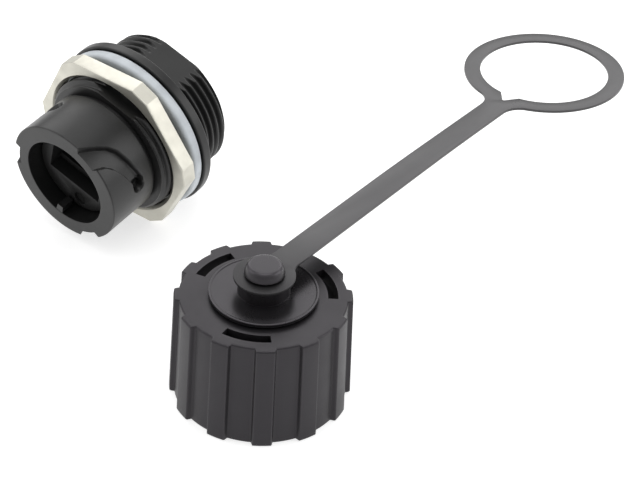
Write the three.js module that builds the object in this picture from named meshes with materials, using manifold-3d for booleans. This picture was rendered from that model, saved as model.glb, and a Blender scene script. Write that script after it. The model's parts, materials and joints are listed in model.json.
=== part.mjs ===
// Panel-mount data connector with a bayonet sleeve, lying on its side, and its tethered
// bayonet cap, standing on its open end. Millimetres, +Z up. The origin is under the middle
// of the whole set, on the surface it stands on. The strap runs along +Y, the connector's
// mating end points to -Y.
import * as THREE from 'three';
import { mergeVertices } from 'three/addons/utils/BufferGeometryUtils.js';
import Module from 'manifold-3d';

const wasm = await Module();
wasm.setup();

// ---- driving dimensions: connector, along its own axis from the panel plane ----
const GAP = 0.3; // clearance kept between neighbouring pieces
const THREAD_R = 14.0; // M28 x 1.5
const THREAD_PITCH = 1.5;
const THREAD_ROOT_R = 13.1;
const THREAD_FLAT = 12.5; // distance of the anti-rotation flat from the axis
const FRONT_CREST_Z = 7.1; // first crest of the front thread
const FRONT_CRESTS = 4;
const REAR_CREST_Z = -3.1; // first crest of the rear thread
const REAR_CRESTS = 5;
const SLEEVE_R = 12.1;
const SLEEVE_BORE_R = 8.8;
const RIM_Z = 19.6; // front rim of the sleeve
const SLEEVE_BASE_Z = 8.7; // where the sleeve ends and the neck groove starts
const NECK_R = 11.3;
const NECK_Z = 7.9;
const FLANGE_R = 17.0;
const FLANGE_T = 1.8;
const REAR_Z = -10.4; // rear end of the housing
const REAR_BORE_R = 11.4;
const SHOULDER_Z = 10.7; // where the rear bore meets the sleeve bore
const KEY_HALF_W = 0.75; // key in the sleeve's bore that polarises the plug
const KEY_R = 7.2;

const NUT_FLATS = 32.0;
const NUT_CORNER_R = 17.65; // corners turned down to this radius
const NUT_REAR_Z = 3.3;
const NUT_FRONT_Z = 6.4;
const NUT_TURN = -12; // degrees
const NUT_CHAMFER = 0.5;
const GASKET_R = 16.5;
const GASKET_T = 2.0;

// ---- driving dimensions: bayonet grooves ----
const GROOVE_FLOOR_R = 10.9;
const GROOVE_ENTRIES = [70, 190, 310]; // degrees about the connector's axis
const POCKET_R = 1.35;
const POCKET_TURN = -50; // degrees from the groove's entry to its end pocket
const POCKET_BEHIND_RIM = 7.0;
const POCKET_FLOOR_R = 10.2;
// The groove's two walls, each point as millimetres behind the rim and degrees from the entry.
const GROOVE_BACK_WALL = [
  [0, 12.5], [1.5, 8], [3.1, 3.5], [4.8, -2.5], [5.9, -10], [6.7, -20.5], [7.4, -31], [8.3, -43],
];
const GROOVE_FRONT_WALL = [[5.6, -43], [4.4, -31], [3.3, -22], [1.9, -15.5], [0, -12]];

// ---- driving dimensions: coupler insert and its ports ----
const FACE_Z = RIM_Z - 3.2; // face of the front port, inside the rim
const INSERT_NOSE_R = 8.5;
const INSERT_R = 11.1;
const INSERT_SPLIT_Z = 4.3; // where the two halves of the coupler meet
const REAR_FACE_Z = -6.4; // face of the rear port
const REAR_PORT_END_Z = 1.8;
const O_RING_Z = 8.1;
const O_RING_CORD_R = 0.4;
const O_RING_GROOVE_R = 9.9;
const O_RING_GROOVE_HALF = 0.7;
const PORT_W = 11.8;
const PORT_FLOOR_Y = -3.0;
const PORT_ROOF_Y = 3.7;
const PORT_END_Z = 6.8;
const LATCH_W = 6.2;
const LATCH_ROOF_Y = 5.4;
const LEDGE_Y = -1.85; // raised floor of the port's inner part
const LEDGE_Z = 13.6; // where the ledge starts
const RECESS = { r: 1.35, depth: 0.6, x: 1.9, y: -5.9 }; // shallow round recess under the port
const WINDOW = { halfW: 4.2, low: -0.1, high: 0.9 }; // the contacts pass through here
const CONTACT_COUNT = 8;
const CONTACT_PITCH = 1.02;
const CONTACT_W = 0.46;
const CONTACT_HALF_T = 0.16;
const CONTACT_LINE = [[10.6, -1.2], [8.2, 0.4], [0.2, 0.4], [-3.6, -1.9]]; // [z, y] of its bends
const REAR_RING_R = 8.9; // inside of the ring that holds the coupler in
const REAR_RING_T = 2.0;

// ---- driving dimensions: cap, along its own axis from the surface it stands on ----
const CAP_H = 19.8;
const CAP_RIB_R = 14.9; // over the ribs at the top
const CAP_VALLEY_R = 14.1; // between the ribs at the top
const CAP_FLARE = 0.6; // radius gained at the open end
const CAP_RIBS = 12;
const RIB_HALF_ANGLE = 6; // degrees
const RIB_BASE_HALF_ANGLE = 7.2;
const CAP_EDGE = 0.5; // chamfer over the ribs' ends
const CAP_BORE_R = 12.45;
const CAP_ROOF_T = 2.2;
const CAP_HUB_HOLE_R = 6.6;
const SLOT_R = [10.7, 12.4];
const SLOT_HALF_ANGLE = 19.6; // degrees
const LUG_TURNS = [0, 120, 240]; // the slots lie over the lugs
const LUG_R = 1.35;
const LUG_TIP_R = 11.05;
const LUG_Z = 4.9;
const DISC_R = 9.2;
const DISC_TOP_Z = 20.8;
const BOSS_R = 4.4; // carries the strap's eye
const STRAP_Z = 23.55; // underside of the strap
const STRAP_T = 0.5;
const KNOB_TOP_Z = 26.15;
const KNOB_R = 3.4;
const PIN_R = 1.7;
const PIN_FOOT_Z = 11.6;
const PIN_HOLE_R = PIN_R + GAP;
const PLUG_R = 10.7;
const PLUG_HUB_R = 6.3;
const PLUG_FLANGE = [12.8, 15.0];
const PLUG_SPIGOT = { r: 6.6, z: 11.3 };
const SEAL_R = 10.6;
const SEAL_T = 1.0;
const CLIP = { r: 4.2, z0: 12.0, z1: 12.7, gap: 2.2 };
const SPRING_R = [7.2, 9.8];
const SPRING_T = 0.35;
const SPRING_WAVE = 0.55; // height of its waves

// ---- driving dimensions: strap, measured from the cap's axis ----
const EYE_R = 5.2;
const BAND_W = 5.0;
const LOOP_Y = 86.5; // centre of the large loop
const LOOP_R = 15.4;
const LOOP_HOLE_R = 12.3;
const STRAP_BEND_Y = 45;
const STRAP_BEND_GAP = 0.6;
const NOTCH_HALF_W = 2.0;
const NOTCH_APEX_R = 14.4;
const NECK_FILLET_R = 2.7;
const LOOP_DROOP = 1.4; // degrees the far half hangs down
const LOOP_TWIST = 3.4; // degrees the far half leans to -X

// ---- where the two halves of the set lie ----
const CAP_AT = [27.2, -43.3, 0];
const CAP_TURN = 55.0; // degrees
const CONNECTOR_AT = [-25.1, -16.3];
const CONNECTOR_ROLL = -18; // degrees
// The connector rests on its flange's front edge and on the nut's front edge.
const CONNECTOR_PITCH = Math.atan2(FLANGE_R - NUT_FLATS / 2, NUT_FRONT_Z);

const SEGMENTS = 48;
const INNER_SEGMENTS = 32; // pieces that stay out of sight
const rad = THREE.MathUtils.degToRad;

// ---- materials ----
function material(color, roughness, metalness = 0) {
  return new THREE.MeshStandardMaterial({ color, roughness, metalness });
}
const MATERIALS = {
  housing: material(0x1c1c1d, 0.42),
  insert: material(0x151516, 0.5),
  cap: material(0x2b2b2d, 0.45),
  strap: material(0x4a4a4c, 0.55),
  nickel: material(0xc9c5b8, 0.28, 1),
  gold: material(0xc79a3a, 0.3, 1),
  steel: material(0xa9abad, 0.3, 1),
  gasket: material(0x9ea4ad, 0.7),
  rubber: material(0x18181a, 0.8),
};

// ---- geometry helpers ----

// Merges shared vertices, drops collapsed triangles and turns the faces outwards.
function closed(geometry) {
  let source = geometry.clone();
  source.deleteAttribute('normal');
  source.deleteAttribute('uv');
  source = mergeVertices(source, 1e-4);
  const index = source.index.array;
  const kept = [];
  for (let i = 0; i < index.length; i += 3) {
    const [a, b, c] = [index[i], index[i + 1], index[i + 2]];
    if (a !== b && b !== c && c !== a) kept.push(a, b, c);
  }
  source.setIndex(kept);
  if (signedVolume(source) < 0) {
    for (let i = 0; i < kept.length; i += 3) {
      [kept[i + 1], kept[i + 2]] = [kept[i + 2], kept[i + 1]];
    }
    source.setIndex(kept);
  }
  return source;
}

function signedVolume(geometry) {
  const position = geometry.attributes.position;
  const index = geometry.index.array;
  const [a, b, c] = [new THREE.Vector3(), new THREE.Vector3(), new THREE.Vector3()];
  let volume = 0;
  for (let i = 0; i < index.length; i += 3) {
    a.fromBufferAttribute(position, index[i]);
    b.fromBufferAttribute(position, index[i + 1]);
    c.fromBufferAttribute(position, index[i + 2]);
    volume += a.dot(b.cross(c)) / 6;
  }
  return volume;
}

function toManifold(geometry) {
  const source = closed(geometry);
  return new wasm.Manifold(new wasm.Mesh({
    numProp: 3,
    vertProperties: new Float32Array(source.attributes.position.array),
    triVerts: new Uint32Array(source.index.array),
  }));
}

function fromManifold(solid) {
  const mesh = solid.getMesh();
  const geometry = new THREE.BufferGeometry();
  const stride = mesh.numProp;
  const count = mesh.vertProperties.length / stride;
  const position = new Float32Array(count * 3);
  for (let i = 0; i < count; i += 1) {
    for (let k = 0; k < 3; k += 1) position[i * 3 + k] = mesh.vertProperties[i * stride + k];
  }
  geometry.setAttribute('position', new THREE.BufferAttribute(position, 3));
  geometry.setIndex(Array.from(mesh.triVerts));
  return geometry;
}

function join(...geometries) {
  const solids = geometries.map(toManifold);
  return fromManifold(solids.slice(1).reduce((sum, next) => sum.add(next), solids[0]));
}

function cut(geometry, ...tools) {
  const start = toManifold(geometry);
  return fromManifold(tools.reduce((left, tool) => left.subtract(toManifold(tool)), start));
}

function common(a, b) {
  return fromManifold(toManifold(a).intersect(toManifold(b)));
}

// A closed [radius, z] outline turned about the Z axis.
function turned(outline, segments = SEGMENTS) {
  const points = outline.map(([r, z]) => new THREE.Vector2(r, z));
  points.push(points[0].clone());
  return new THREE.LatheGeometry(points, segments).rotateX(Math.PI / 2);
}

function disc(radius, z0, z1, segments = SEGMENTS) {
  return turned([[0, z0], [radius, z0], [radius, z1], [0, z1]], segments);
}

function box(x0, x1, y0, y1, z0, z1) {
  return new THREE.BoxGeometry(x1 - x0, y1 - y0, z1 - z0)
    .translate((x0 + x1) / 2, (y0 + y1) / 2, (z0 + z1) / 2);
}

function extruded(shape, z0, z1, curveSegments = 12) {
  return new THREE.ExtrudeGeometry(shape, { depth: z1 - z0, bevelEnabled: false, curveSegments })
    .translate(0, 0, z0);
}

function polar(radius, degrees) {
  return new THREE.Vector2(radius * Math.cos(rad(degrees)), radius * Math.sin(rad(degrees)));
}

function pathOf(points) {
  return new THREE.Shape(points);
}

// ---- connector pieces ----

// V-thread crests as [radius, z] points, from high z to low z.
function threadOutline(firstZ, count, firstRadius = THREAD_R) {
  const outline = [];
  for (let i = 0; i < count; i += 1) {
    const z = firstZ - i * THREAD_PITCH;
    outline.push([THREAD_ROOT_R, z + THREAD_PITCH / 2], [i === 0 ? firstRadius : THREAD_R, z]);
  }
  outline.push([THREAD_ROOT_R, firstZ - (count - 0.5) * THREAD_PITCH]);
  return outline;
}

// One bayonet groove: an open mouth at the rim that narrows into a rising track. The outline
// is drawn unrolled, as distance behind the rim against degrees from the mouth's middle, then
// wrapped round the sleeve.
function bayonetGroove(entry) {
  const spline = (wall) => {
    const points = wall.map(([behind, turn]) => new THREE.Vector2(turn, behind));
    return new THREE.SplineCurve(points).getPoints(points.length * 2);
  };
  const beyondRim = -1;
  const [firstTurn, lastTurn] = [GROOVE_FRONT_WALL.at(-1)[1], GROOVE_BACK_WALL[0][1]];
  const mouth = [new THREE.Vector2(firstTurn, beyondRim), new THREE.Vector2(lastTurn, beyondRim)];
  const outline = [...mouth, ...spline(GROOVE_BACK_WALL), ...spline(GROOVE_FRONT_WALL)];
  const depth = 2; // cuts past the sleeve's outside
  const geometry = extruded(pathOf(outline), 0, depth);
  const position = geometry.attributes.position;
  for (let i = 0; i < position.count; i += 1) {
    const around = polar(GROOVE_FLOOR_R + position.getZ(i), entry + position.getX(i));
    position.setXYZ(i, around.x, around.y, RIM_Z - position.getY(i));
  }
  return geometry;
}

// The recess at the end of each groove that the lug drops into.
function groovePocket(entry) {
  const depth = 2.5; // cuts past the sleeve's outside
  return new THREE.CylinderGeometry(POCKET_R, POCKET_R, depth, 16)
    .rotateZ(-Math.PI / 2)
    .translate(POCKET_FLOOR_R + depth / 2, 0, RIM_Z - POCKET_BEHIND_RIM)
    .rotateZ(rad(entry + POCKET_TURN));
}

function housing() {
  const edge = 0.3;
  const body = turned([
    [SLEEVE_BORE_R, RIM_Z],
    [SLEEVE_R - edge, RIM_Z],
    [SLEEVE_R, RIM_Z - edge],
    [SLEEVE_R, SLEEVE_BASE_Z + edge],
    [SLEEVE_R - edge, SLEEVE_BASE_Z],
    [NECK_R, SLEEVE_BASE_Z - 0.1],
    [NECK_R, NECK_Z],
    ...threadOutline(FRONT_CREST_Z, FRONT_CRESTS, THREAD_R - 0.4),
    [THREAD_ROOT_R, 0],
    [FLANGE_R, 0],
    [FLANGE_R, -FLANGE_T],
    [THREAD_ROOT_R, -FLANGE_T],
    ...threadOutline(REAR_CREST_Z, REAR_CRESTS),
    [THREAD_ROOT_R, REAR_Z],
    [REAR_BORE_R, REAR_Z],
    [REAR_BORE_R, SHOULDER_Z],
    [SLEEVE_BORE_R, SHOULDER_Z],
  ]);
  const far = 20;
  const flats = [
    box(-far, far, THREAD_FLAT, far, 0, NECK_Z),
    box(-far, far, THREAD_FLAT, far, REAR_Z - 1, -FLANGE_T),
  ];
  const grooves = GROOVE_ENTRIES.flatMap((entry) => [bayonetGroove(entry), groovePocket(entry)]);
  const key = box(
    -KEY_HALF_W, KEY_HALF_W, -SLEEVE_BORE_R - 0.6, -KEY_R, FACE_Z + GAP, RIM_Z - 0.1,
  ); // its foot runs 0.6 into the wall
  return join(cut(body, ...flats, ...grooves), key);
}

function portOutline(width, floor) {
  const half = width / 2;
  const latch = LATCH_W / 2;
  return pathOf([
    [-half, floor], [half, floor], [half, PORT_ROOF_Y], [latch, PORT_ROOF_Y], [latch, LATCH_ROOF_Y],
    [-latch, LATCH_ROOF_Y], [-latch, PORT_ROOF_Y], [-half, PORT_ROOF_Y],
  ].map(([x, y]) => new THREE.Vector2(x, y)));
}

// The opening between the two halves of the coupler for the contacts.
function contactWindow(z0, z1) {
  return box(-WINDOW.halfW, WINDOW.halfW, WINDOW.low, WINDOW.high, z0, z1);
}

// Front half of the coupler: the port that takes the plug, with its raised ledge.
function insertFront() {
  const low = INSERT_SPLIT_Z + GAP / 2;
  const grooveLow = O_RING_Z - O_RING_GROOVE_HALF;
  const grooveHigh = O_RING_Z + O_RING_GROOVE_HALF;
  const edge = 0.2;
  const body = turned([
    [0, FACE_Z],
    [INSERT_NOSE_R - edge, FACE_Z],
    [INSERT_NOSE_R, FACE_Z - edge],
    [INSERT_NOSE_R, SHOULDER_Z - GAP],
    [INSERT_R, SHOULDER_Z - GAP],
    [INSERT_R, grooveHigh],
    [O_RING_GROOVE_R, grooveHigh],
    [O_RING_GROOVE_R, grooveLow],
    [INSERT_R, grooveLow],
    [INSERT_R, low],
    [0, low],
  ], INNER_SEGMENTS);
  const mouth = extruded(portOutline(PORT_W, PORT_FLOOR_Y), LEDGE_Z, FACE_Z + 1);
  const deep = extruded(portOutline(PORT_W, LEDGE_Y), PORT_END_Z, LEDGE_Z + 0.1);
  const recess = disc(RECESS.r, FACE_Z - RECESS.depth, FACE_Z + 1, 20)
    .translate(RECESS.x, RECESS.y, 0);
  return cut(body, mouth, deep, contactWindow(low - 1, PORT_END_Z + 1), recess);
}

// Rear half of the coupler: the port that faces the inside of the enclosure.
function insertRear() {
  const high = INSERT_SPLIT_Z - GAP / 2;
  const body = disc(INSERT_R, REAR_FACE_Z, high, INNER_SEGMENTS);
  const port = extruded(portOutline(PORT_W, PORT_FLOOR_Y), REAR_FACE_Z - 1, REAR_PORT_END_Z);
  return cut(body, port, contactWindow(REAR_PORT_END_Z - 1, high + 1));
}

// One bent spring contact, running from the front port to the rear port.
function contact(x) {
  const upper = CONTACT_LINE.map(([z, y]) => new THREE.Vector2(z, y + CONTACT_HALF_T));
  const lower = CONTACT_LINE.map(([z, y]) => new THREE.Vector2(z, y - CONTACT_HALF_T)).reverse();
  return closed(extruded(pathOf([...upper, ...lower]), -CONTACT_W / 2, CONTACT_W / 2)
    .rotateY(-Math.PI / 2)
    .translate(x, 0, 0));
}

function oRing() {
  const middle = (O_RING_GROOVE_R + REAR_BORE_R) / 2;
  const ring = new THREE.TorusGeometry(middle, O_RING_CORD_R, 6, INNER_SEGMENTS);
  return closed(ring.translate(0, 0, O_RING_Z));
}

// Ring behind the coupler, with four slots in its back for the tool that tightens it.
function retainingRing() {
  const high = REAR_FACE_Z - GAP;
  const low = high - REAR_RING_T;
  const ring = turned([
    [REAR_RING_R, high], [INSERT_R, high], [INSERT_R, low], [REAR_RING_R, low],
  ], INNER_SEGMENTS);
  const [slotHalfW, slotDepth, far] = [1, 0.8, 15];
  const slot = box(-slotHalfW, slotHalfW, -far, far, low - 1, low + slotDepth);
  return cut(ring, slot, slot.clone().rotateZ(Math.PI / 2));
}

function flangeGasket() {
  const bore = THREAD_R + GAP;
  const z0 = GAP;
  const z1 = GAP + GASKET_T;
  const round = 0.8; // its front edge is rounded, drawn as two chamfers
  return closed(turned([
    [bore, z0],
    [GASKET_R - 0.1, z0],
    [GASKET_R, z0 + 0.25],
    [GASKET_R, z1 - round],
    [GASKET_R - 0.3 * round, z1 - 0.3 * round],
    [GASKET_R - round, z1],
    [bore, z1],
  ]));
}

function panelNut() {
  const bore = THREAD_R + GAP;
  const corner = NUT_FLATS / 2 / Math.cos(Math.PI / 6);
  const hexagon = pathOf([0, 1, 2, 3, 4, 5].map((i) => polar(corner, NUT_TURN + i * 60 + 30)));
  const blank = turned([
    [bore + NUT_CHAMFER, NUT_REAR_Z],
    [NUT_CORNER_R, NUT_REAR_Z],
    [NUT_CORNER_R, NUT_FRONT_Z - NUT_CHAMFER],
    [NUT_CORNER_R - 1.2, NUT_FRONT_Z],
    [bore + NUT_CHAMFER, NUT_FRONT_Z],
    [bore, NUT_FRONT_Z - NUT_CHAMFER],
    [bore, NUT_REAR_Z + NUT_CHAMFER],
  ], 72);
  return common(extruded(hexagon, NUT_REAR_Z - 1, NUT_FRONT_Z + 1), blank);
}

// ---- cap pieces ----

// The ribbed ring that is gripped and turned, with its lugs inside.
function couplingRing() {
  const pitch = 360 / CAP_RIBS;
  const between = (pitch / 2 + RIB_BASE_HALF_ANGLE) / 2;
  const outline = [];
  for (let i = 0; i < CAP_RIBS; i += 1) {
    const middle = (i + 0.5) * pitch;
    outline.push(polar(CAP_VALLEY_R, middle - pitch / 2));
    outline.push(polar(CAP_VALLEY_R, middle - between));
    outline.push(polar(CAP_VALLEY_R, middle - RIB_BASE_HALF_ANGLE));
    outline.push(polar(CAP_RIB_R, middle - RIB_HALF_ANGLE));
    outline.push(polar(CAP_RIB_R, middle));
    outline.push(polar(CAP_RIB_R, middle + RIB_HALF_ANGLE));
    outline.push(polar(CAP_VALLEY_R, middle + RIB_BASE_HALF_ANGLE));
    outline.push(polar(CAP_VALLEY_R, middle + between));
  }
  const ribbed = extruded(pathOf(outline), 0, CAP_H);
  const position = ribbed.attributes.position;
  for (let i = 0; i < position.count; i += 1) {
    const radius = Math.hypot(position.getX(i), position.getY(i));
    const grown = radius > 1 ? (radius + CAP_FLARE * (1 - position.getZ(i) / CAP_H)) / radius : 1;
    position.setXY(i, position.getX(i) * grown, position.getY(i) * grown);
  }
  const topR = CAP_RIB_R;
  const bottomR = CAP_RIB_R + CAP_FLARE;
  const envelope = turned([
    [0, 0],
    [bottomR - CAP_EDGE, 0],
    [bottomR + 0.1, CAP_EDGE],
    [topR + 0.1, CAP_H - CAP_EDGE],
    [topR - CAP_EDGE, CAP_H],
    [0, CAP_H],
  ], 72);
  const roofZ = CAP_H - CAP_ROOF_T;
  const bore = disc(CAP_BORE_R, -1, roofZ);
  const hubHole = disc(CAP_HUB_HOLE_R, roofZ - 1, CAP_H + 1, 32);
  const slots = LUG_TURNS.map((turn) => arcSlot(turn, roofZ - 1, CAP_H + 1));
  const shell = cut(common(ribbed, envelope), join(bore, hubHole), ...slots);
  return join(shell, ...LUG_TURNS.map(lug));
}

// A curved slot through the cap's roof, over each lug.
function arcSlot(turn, z0, z1) {
  const steps = 8;
  const step = (2 * SLOT_HALF_ANGLE) / steps;
  const angles = Array.from({ length: steps + 1 }, (_, i) => turn - SLOT_HALF_ANGLE + i * step);
  const outer = angles.map((angle) => polar(SLOT_R[1], angle));
  const inner = angles.map((angle) => polar(SLOT_R[0], angle)).reverse();
  return extruded(pathOf([...outer, ...inner]), z0, z1);
}

function lug(turn) {
  const length = CAP_BORE_R + 0.6 - LUG_TIP_R;
  return new THREE.CylinderGeometry(LUG_R, LUG_R, length, 16)
    .rotateZ(-Math.PI / 2)
    .translate(LUG_TIP_R + length / 2, 0, LUG_Z)
    .rotateZ(rad(turn));
}

// Sealing plug that the coupling ring turns about.
function innerPlug() {
  const [flangeLow, flangeHigh] = PLUG_FLANGE;
  return closed(turned([
    [PIN_HOLE_R, CAP_H],
    [PLUG_HUB_R, CAP_H],
    [PLUG_HUB_R, flangeHigh],
    [PLUG_R, flangeHigh],
    [PLUG_R, flangeLow],
    [PLUG_SPIGOT.r, flangeLow],
    [PLUG_SPIGOT.r, PLUG_SPIGOT.z],
    [CLIP.r + GAP, PLUG_SPIGOT.z],
    [CLIP.r + GAP, CLIP.z1 + GAP],
    [PIN_HOLE_R, CLIP.z1 + GAP],
  ], INNER_SEGMENTS));
}

function capSeal() {
  const z1 = PLUG_FLANGE[0] - GAP;
  const z0 = z1 - SEAL_T;
  const bore = PLUG_SPIGOT.r + GAP;
  const edge = 0.3;
  return closed(turned([
    [bore, z0], [SEAL_R - edge, z0], [SEAL_R, z0 + edge], [SEAL_R, z1], [bore, z1],
  ], INNER_SEGMENTS));
}

// Flat spring washer pressed into three waves.
function waveSpring() {
  const ring = new THREE.Shape();
  const steps = 36;
  const [inner, outer] = SPRING_R;
  const middle = (PLUG_FLANGE[1] + CAP_H - CAP_ROOF_T) / 2;
  ring.setFromPoints(Array.from({ length: steps }, (_, i) => polar(outer, (360 * i) / steps)));
  ring.holes.push(circlePath(0, inner, steps));
  const geometry = extruded(ring, middle - SPRING_T / 2, middle + SPRING_T / 2);
  const position = geometry.attributes.position;
  for (let i = 0; i < position.count; i += 1) {
    const turn = Math.atan2(position.getY(i), position.getX(i));
    position.setZ(i, position.getZ(i) + SPRING_WAVE * Math.sin(3 * turn));
  }
  return closed(geometry);
}

// Slightly dished disc on top of the coupling ring, with a boss that carries the strap's eye.
function capDisc() {
  const z0 = CAP_H + GAP;
  const bossTop = STRAP_Z - GAP;
  const dish = 0.12;
  return closed(turned([
    [PIN_HOLE_R, z0],
    [DISC_R - 0.1, z0],
    [DISC_R, z0 + 0.2],
    [DISC_R, DISC_TOP_Z - 0.15],
    [DISC_R - 0.2, DISC_TOP_Z],
    [DISC_R - 1.2, DISC_TOP_Z - dish],
    [BOSS_R + 0.3, DISC_TOP_Z - dish],
    [BOSS_R, DISC_TOP_Z - dish + 0.3],
    [BOSS_R, bossTop],
    [PIN_HOLE_R, bossTop],
  ]));
}

// Pin with a rounded knob over the strap's eye, reaching down through disc and plug.
function strapPin() {
  const head = STRAP_Z + STRAP_T + GAP;
  const crown = [[2.3, 0], [2.75, 0.15], [3.05, 0.5]]; // radius, depth below the knob's top
  return closed(turned([
    [0, KNOB_TOP_Z],
    ...crown.map(([r, depth]) => [r, KNOB_TOP_Z - depth]),
    [KNOB_R, head + 0.25],
    [KNOB_R - 0.1, head],
    [PIN_R, head],
    [PIN_R, PIN_FOOT_Z],
    [0, PIN_FOOT_Z],
  ], 32));
}

// Open-ended spring clip on the pin's lower end.
function pinClip() {
  const ring = turned([
    [PIN_HOLE_R, CLIP.z0], [CLIP.r, CLIP.z0], [CLIP.r, CLIP.z1], [PIN_HOLE_R, CLIP.z1],
  ], INNER_SEGMENTS);
  return cut(ring, box(-CLIP.gap / 2, CLIP.gap / 2, 0, CLIP.r + 1, CLIP.z0 - 1, CLIP.z1 + 1));
}

function circlePath(centreY, radius, count) {
  return new THREE.Path(Array.from({ length: count }, (_, i) => {
    const point = polar(radius, (-360 * i) / count);
    return new THREE.Vector2(point.x, centreY + point.y);
  }));
}

// Points of the concave fillet between the band's side and a round end, on the +X side.
// side is +1 where the round end lies towards +Y of the fillet.
function neckFillet(centreY, radius, side) {
  const middleX = BAND_W / 2 + NECK_FILLET_R;
  const reach = Math.sqrt((radius + NECK_FILLET_R) ** 2 - middleX ** 2);
  const middleY = centreY - side * reach;
  const start = Math.PI;
  const end = Math.atan2(side * reach, -middleX);
  const sweep = side > 0 ? end - start : end + start;
  const from = side > 0 ? start : -start;
  const steps = 6;
  return Array.from({ length: steps + 1 }, (_, i) => {
    const angle = from + (sweep * i) / steps;
    const x = middleX + NECK_FILLET_R * Math.cos(angle);
    const y = middleY + NECK_FILLET_R * Math.sin(angle);
    return new THREE.Vector2(x, y);
  });
}

function mirroredX(points) {
  return points.map((point) => new THREE.Vector2(-point.x, point.y)).reverse();
}

// Points round the far side of a round end, between the two fillets, counter-clockwise.
function roundEnd(centreY, radius, first, last, count) {
  return Array.from({ length: count + 1 }, (_, i) => {
    const angle = first + ((last - first) * i) / count;
    return new THREE.Vector2(radius * Math.cos(angle), centreY + radius * Math.sin(angle));
  });
}

// The near half of the strap: the eye under the knob and half of the band.
function strapEye() {
  const fillet = neckFillet(0, EYE_R, -1).reverse();
  const turn = Math.atan2(fillet[0].y, fillet[0].x);
  const end = STRAP_BEND_Y - STRAP_BEND_GAP / 2;
  const half = BAND_W / 2;
  const outline = pathOf([
    ...roundEnd(0, EYE_R, Math.PI - turn, 2 * Math.PI + turn, 28).slice(1, -1),
    ...fillet,
    new THREE.Vector2(half, end),
    new THREE.Vector2(-half, end),
    ...mirroredX(fillet),
  ]);
  outline.holes.push(circlePath(0, PIN_HOLE_R, 24));
  return closed(extruded(outline, STRAP_Z, STRAP_Z + STRAP_T));
}

// The far half of the strap: the rest of the band and the loop that goes round the sleeve,
// with a small V notch at its neck.
function strapLoop() {
  const fillet = neckFillet(LOOP_Y, LOOP_R, 1);
  const last = fillet[fillet.length - 1];
  const turn = Math.atan2(last.y - LOOP_Y, last.x);
  const start = STRAP_BEND_Y + STRAP_BEND_GAP / 2;
  const half = BAND_W / 2;
  const outline = pathOf([
    new THREE.Vector2(-half, start),
    new THREE.Vector2(half, start),
    ...fillet,
    ...roundEnd(LOOP_Y, LOOP_R, turn, Math.PI - turn, SEGMENTS).slice(1, -1),
    ...mirroredX(fillet),
  ]);
  const notch = Math.asin(NOTCH_HALF_W / LOOP_HOLE_R);
  const down = -Math.PI / 2;
  const hole = roundEnd(LOOP_Y, LOOP_HOLE_R, down + notch, down + 2 * Math.PI - notch, SEGMENTS);
  hole.push(new THREE.Vector2(0, LOOP_Y - NOTCH_APEX_R));
  outline.holes.push(new THREE.Path(hole.reverse()));
  const bendZ = STRAP_Z + STRAP_T / 2;
  return closed(extruded(outline, STRAP_Z, STRAP_Z + STRAP_T)
    .translate(0, -STRAP_BEND_Y, -bendZ)
    .rotateY(rad(-LOOP_TWIST))
    .rotateX(rad(-LOOP_DROOP))
    .translate(0, STRAP_BEND_Y, bendZ));
}

// ---- assembly ----

function addMesh(parent, name, geometry, look) {
  const mesh = new THREE.Mesh(geometry, look);
  mesh.name = name;
  parent.add(mesh);
  return mesh;
}

const group = new THREE.Group();

const connector = new THREE.Group();
connector.position.set(CONNECTOR_AT[0], CONNECTOR_AT[1], FLANGE_R * Math.cos(CONNECTOR_PITCH));
connector.rotation.x = Math.PI / 2 + CONNECTOR_PITCH;
group.add(connector);

const rolled = new THREE.Group();
rolled.rotation.z = rad(CONNECTOR_ROLL);
connector.add(rolled);

addMesh(rolled, 'housing', housing(), MATERIALS.housing);
addMesh(rolled, 'insert_front', insertFront(), MATERIALS.insert);
addMesh(rolled, 'insert_rear', insertRear(), MATERIALS.insert);
addMesh(rolled, 'insert_o_ring', oRing(), MATERIALS.rubber);
addMesh(rolled, 'retaining_ring', retainingRing(), MATERIALS.insert);
addMesh(rolled, 'flange_gasket', flangeGasket(), MATERIALS.gasket);
addMesh(rolled, 'panel_nut', panelNut(), MATERIALS.nickel);
for (let i = 0; i < CONTACT_COUNT; i += 1) {
  const x = (i - (CONTACT_COUNT - 1) / 2) * CONTACT_PITCH;
  addMesh(rolled, `contact_${i + 1}`, contact(x), MATERIALS.gold);
}

const cap = new THREE.Group();
cap.position.set(...CAP_AT);
group.add(cap);

const coupling = new THREE.Group();
coupling.rotation.z = rad(CAP_TURN);
cap.add(coupling);

addMesh(coupling, 'coupling_ring', couplingRing(), MATERIALS.cap);
addMesh(cap, 'inner_plug', innerPlug(), MATERIALS.cap);
addMesh(cap, 'cap_seal', capSeal(), MATERIALS.rubber);
addMesh(cap, 'wave_spring', waveSpring(), MATERIALS.steel);
addMesh(cap, 'cap_disc', capDisc(), MATERIALS.cap);
addMesh(cap, 'strap_pin', strapPin(), MATERIALS.cap);
addMesh(cap, 'pin_clip', pinClip(), MATERIALS.steel);
addMesh(cap, 'strap_eye', strapEye(), MATERIALS.strap);
addMesh(cap, 'strap_loop', strapLoop(), MATERIALS.strap);

export default group;
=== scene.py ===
"""Studio view of a sealed panel-mount data connector and its tethered bayonet cap.

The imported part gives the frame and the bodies. Each visible piece is built here again as a fine
mesh, in millimetres in its own frame, and then placed in metres where the part has it.
"""
import json
import math

import bmesh
import bpy
import numpy as np
from mathutils import Matrix, Vector


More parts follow.
